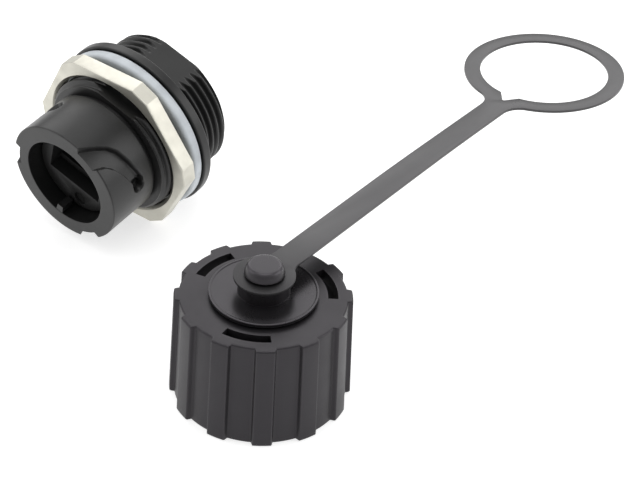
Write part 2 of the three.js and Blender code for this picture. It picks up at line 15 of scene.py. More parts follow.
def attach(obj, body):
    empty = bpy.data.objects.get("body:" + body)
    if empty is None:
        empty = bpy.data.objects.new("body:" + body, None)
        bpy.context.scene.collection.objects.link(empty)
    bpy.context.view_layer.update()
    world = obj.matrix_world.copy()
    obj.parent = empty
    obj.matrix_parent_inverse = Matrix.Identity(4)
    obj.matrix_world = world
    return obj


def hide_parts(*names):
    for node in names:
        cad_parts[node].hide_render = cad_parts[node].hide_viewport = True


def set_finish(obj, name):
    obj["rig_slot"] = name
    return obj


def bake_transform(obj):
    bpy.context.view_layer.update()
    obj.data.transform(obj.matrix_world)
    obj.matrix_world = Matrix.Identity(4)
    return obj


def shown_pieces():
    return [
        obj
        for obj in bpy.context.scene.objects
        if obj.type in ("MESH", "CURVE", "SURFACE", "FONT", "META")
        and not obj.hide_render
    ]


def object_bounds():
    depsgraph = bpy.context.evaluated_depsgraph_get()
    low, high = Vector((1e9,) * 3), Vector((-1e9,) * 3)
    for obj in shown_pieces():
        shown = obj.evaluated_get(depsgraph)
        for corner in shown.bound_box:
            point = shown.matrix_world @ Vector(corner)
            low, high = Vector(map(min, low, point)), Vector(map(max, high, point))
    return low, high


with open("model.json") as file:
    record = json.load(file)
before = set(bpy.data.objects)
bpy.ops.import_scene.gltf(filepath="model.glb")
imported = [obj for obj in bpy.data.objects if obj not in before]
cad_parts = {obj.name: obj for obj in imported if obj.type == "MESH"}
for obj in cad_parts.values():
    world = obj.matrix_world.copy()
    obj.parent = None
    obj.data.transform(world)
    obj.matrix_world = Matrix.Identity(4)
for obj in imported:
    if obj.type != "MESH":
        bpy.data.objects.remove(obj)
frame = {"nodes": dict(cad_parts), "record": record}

cad_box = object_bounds()
MM = 0.001
TAU = 2 * math.pi

# ---- where the two halves of the set lie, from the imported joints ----

JOINTS = {joint["name"]: joint for joint in frame["record"]["behaviour"]["joints"]}
NUT_MIDDLE_Z = 4.85  # where the nut's joint sits on the connector's axis, mm
CONNECTOR_ROLL = math.radians(-18)
CAP_TURN = math.radians(55)


def connector_frame():
    """Z along the connector's axis, Y out of the flat, origin at the flange's front face."""
    axis = Vector(JOINTS["nut_spin"]["axis"]).normalized()
    level = Vector((1, 0, 0))
    upright = axis.cross(level)
    x_axis = math.cos(CONNECTOR_ROLL) * level + math.sin(CONNECTOR_ROLL) * upright
    y_axis = axis.cross(x_axis)
    turn = Matrix((x_axis, y_axis, axis)).transposed().to_4x4()
    origin = Vector(JOINTS["nut_spin"]["pos_m"]) - NUT_MIDDLE_Z * MM * axis
    return Matrix.Translation(origin) @ turn


def cap_frame(turn=0.0):
    """Z up the cap's axis, origin where the axis meets the table."""
    x, y, _ = JOINTS["ring_turn"]["pos_m"]
    return Matrix.Translation((x, y, 0)) @ Matrix.Rotation(turn, 4, "Z")


CONNECTOR = connector_frame()
CAP = cap_frame()
COUPLING = cap_frame(CAP_TURN)

# ---- sizes in millimetres, the same as the part's but for the strap's neck ----

THREAD_R, THREAD_ROOT_R, PITCH = 14.0, 13.1, 1.5
FRONT_CREST, REAR_CREST = (7.0, 245), (-3.1, 30)  # height of a crest, at this angle in degrees
THREAD_FLAT = 12.5
SLEEVE_R, SLEEVE_BORE_R = 12.1, 8.8
RIM_Z, SLEEVE_BASE_Z = 19.6, 8.7
NECK_R, NECK_Z = 11.3, 7.9
FLANGE_R, FLANGE_T = 17.0, 1.8
REAR_Z, REAR_BORE_R, SHOULDER_Z = -10.4, 11.4, 10.7
GROOVE_FLOOR_R, POCKET_FLOOR_R = 10.9, 10.2
GROOVE_ENTRIES = (70, 190, 310)
POCKET_TURN, POCKET_BEHIND_RIM, POCKET_R = -50, 7.0, 1.35
KEY_HALF_W, KEY_R, KEY_TURN = 0.75, 7.2, 270
NUT_FLATS, NUT_FACET, NUT_FACET_HALF_W = 32.0, 17.4, 1.8
NUT_REAR_Z, NUT_FRONT_Z, NUT_BORE_R, NUT_TURN = 3.3, 6.4, 14.3, -12
NUT_CHAMFER = 0.55
GASKET_R, GASKET_T, GASKET_BORE_R = 16.5, 2.0, 14.3
GAP = 0.3

CAP_H, CAP_RIB_R, CAP_VALLEY_R, CAP_FLARE, CAP_RIBS = 19.8, 14.9, 14.1, 0.6, 12
RIB_FLANK = (5.7, 5.9, 6.1, 6.3, 6.55, 6.8, 7.0, 7.2, 7.4)  # degrees from a rib's middle
CAP_BORE_R, CAP_ROOF_T, CAP_HUB_HOLE_R = 12.45, 2.2, 6.6
SLOT_R, SLOT_HALF_ANGLE = (10.7, 12.4), 19.6
LUG_R, LUG_TIP_R, LUG_Z = 1.35, 11.05, 4.9
DISC_R, DISC_TOP_Z, BOSS_R = 9.2, 20.8, 4.4
STRAP_Z, STRAP_T = 23.55, 0.5
KNOB_TOP_Z, KNOB_R, PIN_R, PIN_FOOT_Z = 26.15, 3.4, 1.7, 11.6
PLUG_R, PLUG_HUB_R, PLUG_FLANGE = 10.7, 6.3, (12.8, 15.0)
SPIGOT_R, SPIGOT_Z = 6.6, 11.3
CLIP_ROOM_R, CLIP_ROOM_Z = 4.5, 13.0
SEAL_R, SEAL_Z = (6.9, 10.6), (11.5, 12.5)
EYE_R, BAND_W = 5.2, 5.0
LOOP_Y, LOOP_R, LOOP_HOLE_R = 86.5, 15.4, 12.3
EYE_FILLET_R, LOOP_FILLET_R = 2.7, 4.0
NOTCH_HALF_W, NOTCH_APEX_R, NOTCH_TIP_R = 2.0, 14.55, 0.3
STRAP_BEND_Y = 45.0  # the middle of the stretch where the strap starts to droop and twist
LOOP_DROOP, LOOP_TWIST = math.radians(1.4), math.radians(3.4)
DROOP_HALF = 12.0  # the droop comes in over this length either side of that middle
BEND_HALF = 10.0  # the strap bends over this length either side of its joint

# ---- mesh helpers ----


def mark_edges(mesh):
    """Stores at each point how sharply the surface turns outwards there, for the lighter edges that
    stand for wear and painted highlight.
    """
    work = bmesh.new()
    work.from_mesh(mesh)
    turns = np.zeros(len(work.verts))
    for edge in work.edges:
        angle = edge.calc_face_angle_signed(0)
        for vert in edge.verts:
            turns[vert.index] = max(turns[vert.index], angle)
    work.free()
    mesh.attributes.new("turn", "FLOAT", "POINT").data.foreach_set("value", turns)


def add_object(name, mesh, matrix, slot, body, *nodes):
    """Places a finished mesh and tells the frame what it stands for.

    The turn goes into the mesh, so that the piece's own box stays square to the frame.
    """
    mark_edges(mesh)
    mesh.transform(matrix.to_3x3().to_4x4())
    piece = bpy.data.objects.new(name, mesh)
    bpy.context.scene.collection.objects.link(piece)
    piece.matrix_world = Matrix.Translation(matrix.translation)
    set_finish(piece, slot)
    if nodes:
        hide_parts(*nodes)
    if body:
        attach(piece, body)
    return piece


def smooth(mesh, angle=40):
    mesh.shade_smooth()
    mesh.set_sharp_from_angle(angle=math.radians(angle))


def mesh_from(name, points, faces, angle=40):
    """A mesh from points in millimetres, its faces turned outwards."""
    mesh = bpy.data.meshes.new(name)
    mesh.from_pydata((np.asarray(points) * MM).tolist(), [], faces)
    work = bmesh.new()
    work.from_mesh(mesh)
    bmesh.ops.recalc_face_normals(work, faces=work.faces)
    work.to_mesh(mesh)
    work.free()
    smooth(mesh, angle)
    return mesh


def rounded(corners, steps=5):
    """A closed (radius, z) outline with its corners rounded and its long sides split.

    A corner is (radius, z), (radius, z, fillet) or (radius, z, fillet, spacing), where
    spacing is the longest step on the side that follows the corner.
    """
    corners = [tuple(c) + (0, None)[len(c) - 2:] for c in corners]
    runs = []
    for i, (r, z, fillet, spacing) in enumerate(corners):
        here = Vector((r, z))
        back = Vector(corners[i - 1][:2]) - here
        ahead = Vector(corners[(i + 1) % len(corners)][:2]) - here
        if fillet:
            half = back.angle(ahead) / 2
            reach = min(fillet / math.tan(half), back.length * 0.49, ahead.length * 0.49)
            start, end = here + back.normalized() * reach, here + ahead.normalized() * reach
            curve = [
                (1 - t) ** 2 * start + 2 * t * (1 - t) * here + t * t * end
                for t in (k / steps for k in range(steps + 1))
            ]
        else:
            curve = [here]
        runs.append((curve, spacing))
    path = []
    for i, (curve, spacing) in enumerate(runs):
        path.extend(curve)
        last, following = curve[-1], runs[(i + 1) % len(runs)][0][0]
        if spacing:
            count = math.ceil((following - last).length / spacing)
            path.extend(last.lerp(following, k / count) for k in range(1, count))
    return np.array([tuple(p) for p in path])


def angles_with(count, *extra):
    """Even angles in radians round the circle, with extra ones in degrees where edges fall."""
    every = list(np.linspace(0, 360, count, endpoint=False)) + [a % 360 for a in extra]
    every = sorted(every)
    kept = [every[0]]
    for a in every[1:]:
        if a - kept[-1] > 1e-6:
            kept.append(a)
    return np.radians(kept)


def swept(name, path, angles, shape=None, sharp=40):
    """Turns a closed (radius, z) path about Z. shape may move each point by its angle."""
    rows, columns = len(path), len(angles)
    r = np.repeat(path[:, 0][:, None], columns, axis=1)
    z = np.repeat(path[:, 1][:, None], columns, axis=1)
    a = np.repeat(angles[None, :], rows, axis=0)
    if shape:
        r, z = shape(r, z, a)
    points = np.stack([r * np.cos(a), r * np.sin(a), z], axis=-1).reshape(-1, 3)
    i, j = np.meshgrid(np.arange(rows), np.arange(columns), indexing="ij")
    i2, j2 = (i + 1) % rows, (j + 1) % columns
    low, high = i * columns, i2 * columns
    faces = np.stack([low + j, low + j2, high + j2, high + j], axis=-1)
    return mesh_from(name, points, faces.reshape(-1, 4).tolist(), sharp)


def domed(name, path, segments=96, sharp=40):
    """Turns an open (radius, z) path, with both ends on the axis, about Z."""
    angles = np.linspace(0, TAU, segments, endpoint=False)
    inner = path[1:-1]
    points = [(0, 0, path[0][1])]
    points += [(r * math.cos(a), r * math.sin(a), z) for r, z in inner for a in angles]
    points.append((0, 0, path[-1][1]))
    faces = []
    for j in range(segments):
        k = (j + 1) % segments
        faces.append((0, 1 + j, 1 + k))
        for i in range(len(inner) - 1):
            low, high = 1 + i * segments, 1 + (i + 1) * segments
            faces.append((low + j, high + j, high + k, low + k))
        low = 1 + (len(inner) - 1) * segments
        faces.append((low + k, low + j, len(points) - 1))
    return mesh_from(name, points, faces, sharp)


def boolean(mesh, cutter, operation, angle):
    """The first mesh cut by, or joined with, the second one."""
    target = bpy.data.objects.new("target", mesh)
    tool = bpy.data.objects.new("tool", cutter)
    for item in (target, tool):
        bpy.context.scene.collection.objects.link(item)
    modifier = target.modifiers.new("boolean", "BOOLEAN")
    modifier.operation = operation
    modifier.solver = "EXACT"
    modifier.object = tool
    graph = bpy.context.evaluated_depsgraph_get()
    result = bpy.data.meshes.new_from_object(target.evaluated_get(graph))
    for item in (target, tool):
        bpy.data.objects.remove(item)
    result.name = mesh.name
    smooth(result, angle)
    return result


def softened(node, name, width, segments=2, angle=30):
    """A copy of a CAD node's mesh with its edges rounded by width millimetres."""
    work = bmesh.new()
    work.from_mesh(frame["nodes"][node].data)
    bmesh.ops.remove_doubles(work, verts=work.verts, dist=1e-7)
    bmesh.ops.dissolve_limit(
        work, angle_limit=math.radians(1), verts=work.verts, edges=work.edges
    )
    edges = [
        e for e in work.edges
        if len(e.link_faces) == 2 and e.calc_face_angle(0) > math.radians(angle)
    ]
    bmesh.ops.bevel(
        work, geom=edges, offset=width * MM, segments=segments, profile=0.5,
        affect="EDGES", clamp_overlap=True,
    )
    mesh = bpy.data.meshes.new(name)
    work.to_mesh(mesh)
    work.free()
    smooth(mesh, angle)
    return mesh


def step(value, start, end):
    """0 before start, 1 after end, smooth between."""
    t = np.clip((value - start) / (end - start), 0, 1)
    return t * t * (3 - 2 * t)


# ---- connector pieces ----


def thread_ridge(z, a, crest_at):
    """How deep below the crest a right-hand thread is: 0 on the crest, 1 in the root."""
    turn = (z - crest_at) / PITCH - a / TAU
    away = np.abs(turn - np.round(turn)) * 2
    crest_land, root_land = 0.14, 0.2
    return step(away, crest_land * 0.6, 1 - root_land * 0.6)


def groove_outline():
    """The closed outline of one bayonet groove: millimetres round the sleeve and behind the rim.

    The points are written as millimetres behind the rim and degrees from the groove's mouth.
    """
    back = [(0, 12.5), (1.5, 8), (3.1, 3.5), (4.8, -2.5), (5.9, -10), (6.7, -20.5)]
    back += [(7.4, -31), (8.3, -43)]
    end = [(8.3, -50), (5.6, -50)]
    front = [(5.6, -43), (4.4, -31), (3.3, -22), (1.9, -15.5), (0, -12)]
    mouth = [(-2, -12), (-2, 12.5)]
    per_degree = math.radians(1) * SLEEVE_R
    return np.array([(turn * per_degree, behind) for behind, turn in back + end + front + mouth])


def depth_inside(x, y, outline):
    """Distance inside a closed outline, negative outside it."""
    nearest = np.full(x.shape, 1e9)
    inside = np.zeros(x.shape, bool)
    for (x0, y0), (x1, y1) in zip(outline, np.roll(outline, -1, axis=0)):
        dx, dy = x1 - x0, y1 - y0
        t = np.clip(((x - x0) * dx + (y - y0) * dy) / (dx * dx + dy * dy), 0, 1)
        nearest = np.minimum(nearest, np.hypot(x - x0 - t * dx, y - y0 - t * dy))
        if dy:
            crossing = (y0 > y) != (y1 > y)
            inside ^= crossing & (x < dx * (y - y0) / dy + x0)
    return np.where(inside, nearest, -nearest)


KEY_BACK_Z = RIM_Z - 2.9
KEY_HALF_ANGLE = math.degrees(math.asin(KEY_HALF_W / SLEEVE_BORE_R))


def housing_shape(r, z, a):
    """Gives the plain turned housing its threads, flat, bayonet grooves and key."""
    r = r.copy()
    outside = r > REAR_BORE_R + 0.5
    degrees = np.degrees(a)
    # threads, which fade out towards the neck, the flange and the rear end
    threaded = outside & (r < THREAD_R + 0.1)
    thread_start = NECK_Z - 0.15
    clear = 0.05
    front = threaded & (z < thread_start) & (z > clear)
    rear = threaded & (z < -FLANGE_T - clear) & (z > REAR_Z + clear)
    depth = THREAD_R - THREAD_ROOT_R
    for region, (crest_z, crest_turn) in ((front, FRONT_CREST), (rear, REAR_CREST)):
        ridge = thread_ridge(z, a, crest_z - PITCH * (crest_turn / 360))
        r = np.where(region, THREAD_R - depth * ridge, r)
    gentle, steep, far = 1.1, 1.6, 5
    lead_in = THREAD_ROOT_R + 0.05 + np.clip((thread_start - z) * gentle, 0, far)
    r = np.where(front, np.minimum(r, lead_in), r)
    run_out = THREAD_ROOT_R + np.clip((z - REAR_Z) * steep, 0, far)
    r = np.where(rear, np.minimum(r, run_out), r)
    undercut = THREAD_ROOT_R + np.clip((-FLANGE_T - 0.35 - z) * steep, 0, far)
    r = np.where(rear, np.minimum(r, undercut), r)
    # the flat, on both threads
    facing = np.cos(a - math.radians(90))
    flat = THREAD_FLAT / np.maximum(facing, 0.2)
    flatted = outside & (facing > 0.8) & (r < THREAD_R + 0.1)
    flatted &= (z < NECK_Z) & ((z > 0.02) | (z < -FLANGE_T - 0.02))
    r = np.where(flatted, np.minimum(r, flat), r)
    # bayonet grooves
    sleeve = (r > SLEEVE_BORE_R + 1.5) & (z > SLEEVE_BASE_Z)
    outline = groove_outline()
    wall = 0.32  # a groove's side slopes over this width
    first, last = -62, 22  # degrees from its mouth that a groove stays within
    for entry in GROOVE_ENTRIES:
        turn = (degrees - entry + 180) % 360 - 180
        x, y = np.radians(turn) * SLEEVE_R, RIM_Z - z
        near = sleeve & (turn > first) & (turn < last)
        inside = np.full(r.shape, -1.0)
        inside[near] = depth_inside(x[near], y[near], outline)
        groove = SLEEVE_R - (SLEEVE_R - GROOVE_FLOOR_R) * step(inside, -0.04, wall)
        r = np.where(near, np.minimum(r, groove), r)
        off_pocket = np.hypot(x - math.radians(POCKET_TURN) * SLEEVE_R, y - POCKET_BEHIND_RIM)
        share = step(POCKET_R - off_pocket, -0.04, wall)
        pocket = SLEEVE_R - (SLEEVE_R - POCKET_FLOOR_R) * share
        r = np.where(near, np.minimum(r, pocket), r)
    # key inside the bore
    off_key = (degrees - KEY_TURN + 180) % 360 - 180
    keyed = (r < SLEEVE_BORE_R + 0.05) & (z > KEY_BACK_Z + 0.05) & (z < RIM_Z - 0.06)
    keyed &= np.abs(off_key) < KEY_HALF_ANGLE + 1e-6
    r = np.where(keyed, KEY_R + (r - SLEEVE_BORE_R), r)
    return r, z


def housing():
    fine, coarse = 0.12, 0.13
    path = rounded([
        (SLEEVE_BORE_R, RIM_Z, 0.15, 0.4),
        (SLEEVE_R, RIM_Z, 0.22, fine),
        (SLEEVE_R, SLEEVE_BASE_Z, 0.3),
        (NECK_R, SLEEVE_BASE_Z - 0.05, 0.1),
        (NECK_R, NECK_Z, 0.1),
        (THREAD_ROOT_R + 0.1, NECK_Z - 0.05, 0, coarse),
        (THREAD_ROOT_R + 0.1, 0, 0, 0.5),
        (FLANGE_R, 0, 0.25, 0.4),
        (FLANGE_R, -FLANGE_T, 0.25, 0.5),
        (THREAD_ROOT_R, -FLANGE_T, 0, coarse),
        (THREAD_ROOT_R, REAR_Z, 0.1, 0.4),
        (REAR_BORE_R, REAR_Z, 0.2),
        (REAR_BORE_R, SHOULDER_Z, 0.1),
        (SLEEVE_BORE_R, SHOULDER_Z, 0.1, 1.5),
        (SLEEVE_BORE_R, KEY_BACK_Z),
        (SLEEVE_BORE_R, KEY_BACK_Z + 0.1),
        (SLEEVE_BORE_R, RIM_Z - 0.16),
    ])
    key_edges = [
        KEY_TURN + side * (KEY_HALF_ANGLE + more) for side in (-1, 1) for more in (0, 0.06)
    ]
    mesh = swept("housing", path, angles_with(600, *key_edges), housing_shape, 62)
    return add_object("housing_shell", mesh, CONNECTOR, "housing_plastic", "connector", "housing")


def nut_outline(a):
    """Distance from the axis to the nut's side: six flats and a facet across each corner."""
    reach = np.full(a.shape, 1e9)
    for i in range(6):
        flat_turn = NUT_TURN + 60 * i
        for turn, distance in ((flat_turn, NUT_FLATS / 2), (flat_turn + 30, NUT_FACET)):
            facing = np.cos(a - math.radians(turn))
            side = distance / np.maximum(facing, 0.5)
            reach = np.where(facing > 0.5, np.minimum(reach, side), reach)
    return reach


def panel_nut():
    outer = NUT_FLATS / 2
    path = rounded([
        (NUT_BORE_R + NUT_CHAMFER, NUT_REAR_Z, 0.06, 0.4),
        (outer, NUT_REAR_Z, 0.16, 0.4),
        (outer, NUT_FRONT_Z, 0.16, 0.4),
        (NUT_BORE_R + NUT_CHAMFER, NUT_FRONT_Z, 0.06),
        (NUT_BORE_R, NUT_FRONT_Z - NUT_CHAMFER, 0.05),
        (NUT_BORE_R, NUT_REAR_Z + NUT_CHAMFER, 0.05),
    ])
    half_facet = math.degrees(math.atan2(NUT_FACET_HALF_W, NUT_FACET))
    corners = [
        NUT_TURN + 60 * i + 30 + side * half_facet + offset
        for i in range(6) for side in (-1, 1) for offset in (-0.35, -0.12, 0.12, 0.35)
    ]  # degrees, close on both sides of each edge

    still = 0.6  # the width next to the bore that stays round

    def shape(r, z, a):
        share = np.clip((r - NUT_BORE_R - still) / (outer - NUT_BORE_R - still), 0, 1)
        return r + share * (nut_outline(a) - outer), z

    mesh = swept("nut", path, angles_with(144, *corners), shape, 30)
    return add_object("hexagon_nut", mesh, CONNECTOR, "nut_nickel", "nut", "panel_nut")


def flange_gasket():
    path = rounded([
        (GASKET_BORE_R, GAP, 0.1),
        (GASKET_R, GAP, 0.2),
        (GASKET_R, GAP + GASKET_T, 0.75),
        (GASKET_BORE_R, GAP + GASKET_T, 0.1),
    ], 8)
    mesh = swept("gasket", path, angles_with(160))
    return add_object("gasket_ring", mesh, CONNECTOR, "gasket_rubber", "connector", "flange_gasket")


def coupler_insert():
    for node, name, width in (
        ("insert_front", "coupler_front", 0.12),
        ("insert_rear", "coupler_rear", 0.12),
        ("retaining_ring", "rear_ring", 0.15),
    ):
        slot = "housing_plastic" if node == "retaining_ring" else "insert_plastic"
        add_object(name, softened(node, name, width), Matrix.Identity(4), slot, "connector", node)


# ---- cap pieces ----


def rib_share(a):
    """1 on a rib's land and 0 in the valley between two ribs."""
    pitch = 360 / CAP_RIBS
    off = np.abs((np.degrees(a) % pitch) - pitch / 2)
    return 1 - step(off, RIB_FLANK[0], RIB_FLANK[-1])


def coupling_shape(r, z, a):
    """Raises the ribs on the plain ring and flares its outside towards the open end."""
    skin_r, skin_t = CAP_VALLEY_R - 1.0, 0.7  # nothing inside this radius moves
    grown = CAP_FLARE * (1 - z / CAP_H)
    raised = (CAP_RIB_R - CAP_VALLEY_R) * rib_share(a)
    amount = np.clip((r - skin_r) / skin_t, 0, 1)
    return np.where(r > skin_r, r + amount * (raised + grown), r), z


def arc_prism(turn, z0, z1, steps=28):
    """A curved bar over one slot of the cap's roof."""
    points, faces = [], []
    for i in range(steps + 1):
        a = math.radians(turn - SLOT_HALF_ANGLE + 2 * SLOT_HALF_ANGLE * i / steps)
        for r in SLOT_R:
            for z in (z0, z1):
                points.append((r * math.cos(a), r * math.sin(a), z))
    for i in range(steps):
        p, q = 4 * i, 4 * i + 4
        faces += [(p, p + 1, q + 1, q), (p + 2, q + 2, q + 3, p + 3)]
        faces += [(p, q, q + 2, p + 2), (p + 1, p + 3, q + 3, q + 1)]
    last = 4 * steps
    faces += [(0, 2, 3, 1), (last, last + 1, last + 3, last + 2)]
    return mesh_from("slot", points, faces)


def lug_stub(turn):
    length = 2.2
    path = rounded([(0, 0), (LUG_R, 0, 0.25), (LUG_R, length), (0, length)])
    path = np.vstack([path, [(0, length)]])
    mesh = domed("lug", path, 32)
    outwards = Matrix.Rotation(math.pi / 2, 4, "Y")
    tip = Matrix.Translation((LUG_TIP_R * MM, 0, LUG_Z * MM))
    mesh.transform(Matrix.Rotation(math.radians(turn), 4, "Z") @ tip @ outwards)
    return mesh


def coupling_ring():
    roof = CAP_H - CAP_ROOF_T
    path = rounded([
        (CAP_VALLEY_R, 0, 0.35, 1.2),
        (CAP_VALLEY_R, CAP_H, 0.4, 0.35),
        (CAP_HUB_HOLE_R, CAP_H, 0.1),
        (CAP_HUB_HOLE_R, roof, 0.1),
        (CAP_BORE_R, roof, 0.3),
        (CAP_BORE_R, 0, 0.3),
    ], 6)
    pitch = 360 / CAP_RIBS
    edges = [
        pitch * (i + 0.5) + side * off
        for i in range(CAP_RIBS) for side in (-1, 1) for off in RIB_FLANK
    ]
    mesh = swept("coupling", path, angles_with(180, *edges), coupling_shape, 50)
    for turn in (0, 120, 240):
        mesh = boolean(mesh, arc_prism(turn, roof - 1, CAP_H + 1), "DIFFERENCE", 50)
        mesh = boolean(mesh, lug_stub(turn), "UNION", 50)
    return add_object("ribbed_ring", mesh, COUPLING, "cap_plastic", "coupling", "coupling_ring")


def cap_disc():
    z0, boss_top = CAP_H + GAP, STRAP_Z - GAP
    hole = PIN_R + GAP
    dish = 0.08
    path = rounded([
        (hole, z0, 0.05),
        (DISC_R - 0.03, z0, 0.2),
        (DISC_R, DISC_TOP_Z, 0.26),
        (DISC_R - 0.34, DISC_TOP_Z, 0.12),
        (DISC_R - 0.5, DISC_TOP_Z - dish, 0.12, 0.6),
        (BOSS_R, DISC_TOP_Z - dish, 0.04),
        (BOSS_R - 0.05, boss_top, 0.15),
        (hole, boss_top, 0.05),
    ], 7)
    mesh = swept("disc", path, angles_with(192))
    return add_object("cap_disc_top", mesh, CAP, "disc_plastic", "cap", "cap_disc")


def strap_pin():
    head = STRAP_Z + STRAP_T + GAP
    side = rounded([
        (0, KNOB_TOP_Z, 0, 0.4), (2.95, KNOB_TOP_Z, 0.85),
        (KNOB_R + 0.02, head + 0.1, 0.2), (KNOB_R - 0.1, head, 0.05),
        (PIN_R, head, 0.05), (PIN_R, PIN_FOOT_Z, 0.2), (0, PIN_FOOT_Z),
    ], 7)
    mesh = domed("pin", side, 96)
    return add_object("pin_with_knob", mesh, CAP, "disc_plastic", "cap", "strap_pin")


def inner_plug():
    hole = PIN_R + GAP
    low, high = PLUG_FLANGE
    path = rounded([
        (hole, CAP_H, 0.1), (PLUG_HUB_R, CAP_H, 0.2), (PLUG_HUB_R, high, 0.1), (PLUG_R, high, 0.25),
        (PLUG_R, low, 0.25), (SPIGOT_R, low, 0.1), (SPIGOT_R, SPIGOT_Z, 0.3),
        (CLIP_ROOM_R, SPIGOT_Z, 0.2), (CLIP_ROOM_R, CLIP_ROOM_Z, 0.1), (hole, CLIP_ROOM_Z, 0.1),
    ])
    mesh = swept("plug", path, angles_with(128))
    return add_object("sealing_plug", mesh, CAP, "cap_plastic", "cap", "inner_plug")


def cap_seal():
    (inner, outer), (low, high) = SEAL_R, SEAL_Z
    path = rounded([(inner, low, 0.2), (outer, low, 0.35), (outer, high, 0.35), (inner, high, 0.2)])
    mesh = swept("seal", path, angles_with(128))
    return add_object("flat_seal", mesh, CAP, "seal_rubber", "cap", "cap_seal")


# ---- strap ----


def arc_points(centre, radius, start, end, count):
    return [
        (centre[0] + radius * math.cos(a), centre[1] + radius * math.sin(a))
        for a in np.linspace(start, end, count)
    ]


def strap_side():
    """The strap's outline on its +X side, from the eye's near end to the loop's far end."""
    near_x, far_x = BAND_W / 2 + EYE_FILLET_R, BAND_W / 2 + LOOP_FILLET_R
    near_y = math.sqrt((EYE_R + EYE_FILLET_R) ** 2 - near_x ** 2)
    near_turn = math.atan2(near_y, near_x)
    far_y = math.sqrt((LOOP_R + LOOP_FILLET_R) ** 2 - far_x ** 2)
    far_turn = math.atan2(far_y, far_x)
    side = arc_points((0, 0), EYE_R, -math.pi / 2, near_turn, 40)
    side += arc_points((near_x, near_y), EYE_FILLET_R, math.pi + near_turn, math.pi, 10)[1:]
    side += arc_points((far_x, LOOP_Y - far_y), LOOP_FILLET_R, math.pi, math.pi - far_turn, 12)
    side += arc_points((0, LOOP_Y), LOOP_R, -far_turn, math.pi / 2, 80)[1:]
    return side


def strap_loops():
    side = strap_side()
    outer = side + [(-x, y) for x, y in reversed(side[1:-1])]
    eye_hole = arc_points((0, 0), PIN_R + GAP, 0, TAU, 49)[:-1]
    notch = math.asin(NOTCH_HALF_W / LOOP_HOLE_R)
    down = -math.pi / 2
    loop_hole = arc_points((0, LOOP_Y), LOOP_HOLE_R, down + notch, down + TAU - notch, 128)
    tip_y, slant = LOOP_Y - NOTCH_APEX_R + NOTCH_TIP_R, 0.7
    tip = arc_points((0, tip_y), NOTCH_TIP_R, math.pi + slant, TAU - slant, 7)
    return outer, eye_hole, loop_hole + tip


def drooped(point):
    """Moves a point of the flat strap to where the drooping, twisting strip has it."""
    spread = DROOP_HALF * MM
    middle_z = (STRAP_Z + STRAP_T / 2) * MM
    past = point.y - STRAP_BEND_Y * MM
    share = min(max((past + spread) / (2 * spread), 0), 1)
    if past < spread:
        fallen = math.tan(LOOP_DROOP) * spread * share * share
    else:
        fallen = math.tan(LOOP_DROOP) * past
    twist = LOOP_TWIST * share * share * (3 - 2 * share)
    x, z = point.x, point.z - middle_z
    return Vector((
        x * math.cos(twist) - z * math.sin(twist),
        point.y,
        middle_z - fallen + x * math.sin(twist) + z * math.cos(twist),
    ))


def strap():
    """One flat sheet, rounded along its rims, cut across where it bends, then drooped."""
    work = bmesh.new()
    rings = []
    for loop in strap_loops():
        verts = [work.verts.new((x * MM, y * MM, STRAP_Z * MM)) for x, y in loop]
        rings.append([work.edges.new((verts[i - 1], verts[i])) for i in range(len(verts))])
    bmesh.ops.triangle_fill(work, use_beauty=True, edges=[e for ring in rings for e in ring])
    bmesh.ops.recalc_face_normals(work, faces=work.faces)
    low = list(work.faces)
    raised = bmesh.ops.extrude_face_region(work, geom=low, use_keep_orig=True)
    lifted = [v for v in raised["geom"] if isinstance(v, bmesh.types.BMVert)]
    bmesh.ops.translate(work, verts=lifted, vec=(0, 0, STRAP_T * MM))
    bmesh.ops.recalc_face_normals(work, faces=work.faces)
    rims = [e for e in work.edges if len(e.link_faces) == 2 and e.calc_face_angle(0) > 1.0]
    rims = [e for e in rims if abs(e.verts[0].co.z - e.verts[1].co.z) < 1e-7]
    bmesh.ops.bevel(work, geom=rims, offset=0.09 * MM, segments=2, profile=0.6, affect="EDGES")
    pivot = Vector(JOINTS["strap_bend"]["pos_m"])
    joint_y = pivot.y / MM - CAP.translation.y / MM
    reach, spacing = BEND_HALF + 4, 1.0
    for y in np.arange(joint_y - reach, joint_y + reach + 0.01, spacing):
        bmesh.ops.bisect_plane(
            work, geom=work.verts[:] + work.edges[:] + work.faces[:],
            plane_co=(0, y * MM, 0), plane_no=(0, 1, 0), dist=1e-8,
        )
    for vert in work.verts:
        vert.co = drooped(vert.co)
    mesh = bpy.data.meshes.new("strap")
    work.to_mesh(mesh)
    work.free()
    smooth(mesh, 20)
    piece = add_object("flat_strap", mesh, CAP, "strap_plastic", None, "strap_eye", "strap_loop")
    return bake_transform(piece)


# ---- materials ----

FINE_BUMP, BROAD_BUMP = 0.00001, 0.00003  # metres

